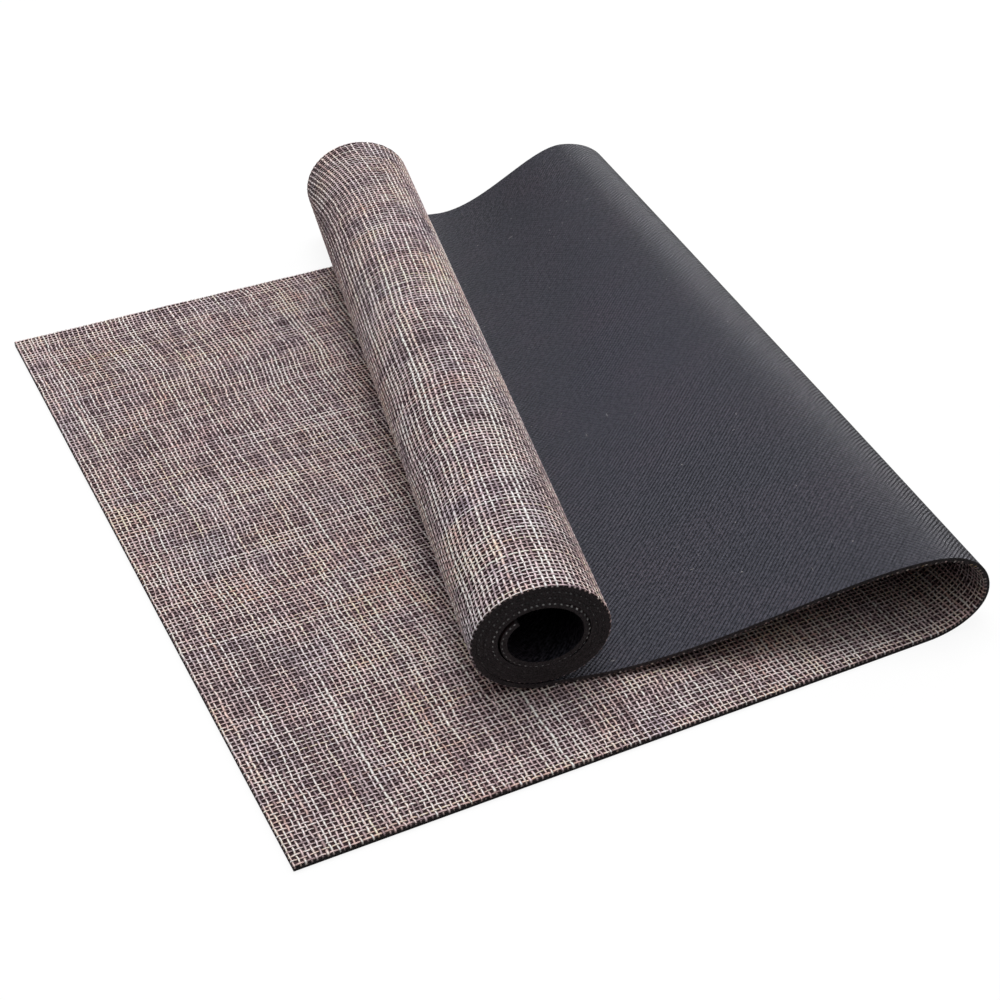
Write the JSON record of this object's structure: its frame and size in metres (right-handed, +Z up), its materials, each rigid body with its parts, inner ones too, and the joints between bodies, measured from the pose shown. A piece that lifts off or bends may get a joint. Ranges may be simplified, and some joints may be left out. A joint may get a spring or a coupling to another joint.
{
  "type": "yoga mat",
  "caption": "Exercise mat shown half unrolled, with a woven face over a black foam-rubber base, folded back on itself and rolled up.",
  "frame": {"origin": "middle of the mat's outline, on the surface that it lies on", "axes": "+Z up, +X from the free end of the floor panel towards the fold, +Y from the front edge to the back edge, across the mat's width"},
  "size_m": [0.5994, 0.7496, 0.0951],
  "materials": {
    "foam_rubber": "matt black closed-cell foam rubber, finely ribbed underneath",
    "bonding_coat": "black, satin, seen between the yarns",
    "woven_face": "coarse open plain weave of light natural-fibre yarns"
  },
  "bodies": {
    "floor_part": {"base_floor_panel": "foam_rubber", "bond_floor_panel": "bonding_coat", "face_floor_panel": "woven_face", "base_fold": "foam_rubber", "bond_fold": "bonding_coat", "face_fold": "woven_face"},
    "rolled_part": {"base_roll": "foam_rubber", "bond_roll": "bonding_coat", "face_roll": "woven_face"}
  },
  "joints": [
    {"name": "fold_open", "type": "hinge", "parent": "floor_part", "child": "rolled_part", "pos_m": [0.28774, -0.03876, 0.0046], "axis": [0.108, 0.9942, 0], "range_deg": [0, 160], "deforming": ["base_fold", "bond_fold", "face_fold"]}
  ]
}
